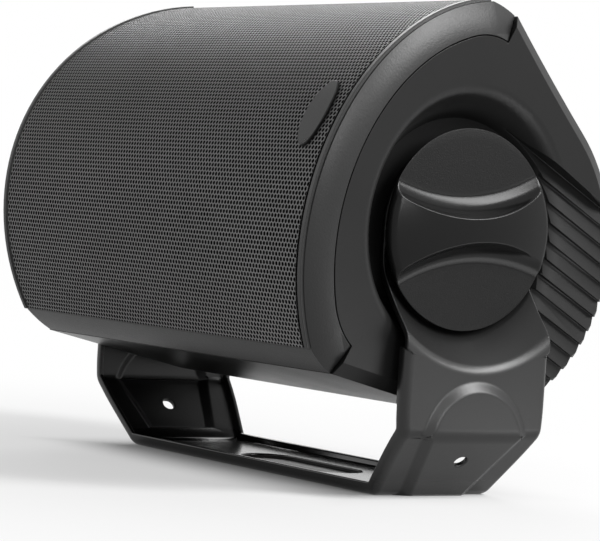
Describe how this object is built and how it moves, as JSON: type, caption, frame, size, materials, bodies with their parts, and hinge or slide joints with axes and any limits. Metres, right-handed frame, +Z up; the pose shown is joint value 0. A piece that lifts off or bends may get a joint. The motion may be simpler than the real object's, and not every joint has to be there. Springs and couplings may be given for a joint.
{
  "type": "outdoor patio speaker",
  "caption": "Weatherproof barrel-fronted patio speaker with a curved perforated grille, tilting in a pressed U-bracket held by large clamp knobs.",
  "frame": {"origin": "on the floor under the middle of the bracket's base", "axes": "+X along the cabinet and the pivot, -Y towards the listener, +Z up"},
  "size_m": [0.2376, 0.1646, 0.1955],
  "materials": {
    "bracket_paint": "satin black powder coat",
    "shell_plastic": "fine grained black moulding",
    "frame_plastic": "satin black moulding",
    "grille_sheet": "charcoal painted perforated sheet",
    "badge": "gloss black",
    "knob_plastic": "satin black",
    "steel": "zinc plated",
    "brass": "plain brass",
    "rubber": "black rubber",
    "inner_plastic": "black moulding",
    "basket_paint": "black painted steel",
    "cone": "mineral filled polymer",
    "dome": "anodised",
    "spider": "resin dipped cloth",
    "copper": "enamelled copper",
    "ferrite": "sintered ferrite",
    "board": "green board",
    "capacitor": "yellow film",
    "resistor": "white ceramic",
    "cap_red": "red",
    "cap_black": "black"
  },
  "bodies": {
    "bracket": {"mounting_bracket": "bracket_paint"},
    "knob_right": {"clamp_knob_right": "knob_plastic", "knob_stud_right": "steel"},
    "knob_left": {"clamp_knob_left": "knob_plastic", "knob_stud_left": "steel"},
    "cap_red": {"post_cap_red": "cap_red"},
    "cap_black": {"post_cap_black": "cap_black"},
    "woofer_moving": {"woofer_cone": "cone", "woofer_dust_cap": "cone", "woofer_voice_coil": "copper"},
    "cabinet": {"rear_shell": "shell_plastic", "grille_frame": "frame_plastic", "grille": "grille_sheet", "badge": "badge", "baffle_screws": "steel", "woofer_screws": "steel", "tweeter_screws": "steel", "terminal_screws": "steel", "crossover_screws": "steel", "woofer_top_plate": "steel", "woofer_pole_piece": "steel", "pivot_insert_right": "brass", "pivot_insert_left": "brass", "binding_post_red": "brass", "binding_post_black": "brass", "friction_washer_right": "rubber", "friction_washer_left": "rubber", "baffle_gasket": "rubber", "woofer_gasket": "rubber", "woofer_surround": "rubber", "front_baffle": "inner_plastic", "terminal_cup": "inner_plastic", "tweeter_faceplate": "inner_plastic", "woofer_basket": "basket_paint", "tweeter_motor": "basket_paint", "tweeter_dome": "dome", "woofer_spider": "spider", "tweeter_voice_coil": "copper", "crossover_inductor": "copper", "woofer_magnet": "ferrite", "crossover_board": "board", "crossover_capacitor": "capacitor", "crossover_resistor": "resistor"}
  },
  "joints": [
    {"name": "cabinet_tilt", "type": "hinge", "parent": "bracket", "child": "cabinet", "pos_m": [0, 0, 0.1053], "axis": [-1, 0, 0], "range_deg": [-19, 140]},
    {"name": "knob_right_turn", "type": "hinge", "parent": "cabinet", "child": "knob_right", "pos_m": [0.1, 0, 0.1053], "axis": [1, 0, 0], "range_deg": [0, 720]},
    {"name": "knob_left_turn", "type": "hinge", "parent": "cabinet", "child": "knob_left", "pos_m": [-0.1, 0, 0.1053], "axis": [-1, 0, 0], "range_deg": [0, 720]},
    {"name": "post_cap_red_turn", "type": "hinge", "parent": "cabinet", "child": "cap_red", "pos_m": [-0.0095, 0.06008, 0.0724], "axis": [0, 0.8771, -0.4802], "range_deg": [0, 1800]},
    {"name": "post_cap_black_turn", "type": "hinge", "parent": "cabinet", "child": "cap_black", "pos_m": [0.0095, 0.06008, 0.0724], "axis": [0, 0.8771, -0.4802], "range_deg": [0, 1800]},
    {"name": "woofer_travel", "type": "slide", "parent": "cabinet", "child": "woofer_moving", "axis": [0, -0.8771, 0.4802], "range_m": [-0.003, 0.003], "stiffness_N_per_m": 1500, "deforming": ["woofer_surround", "woofer_spider"]}
  ]
}
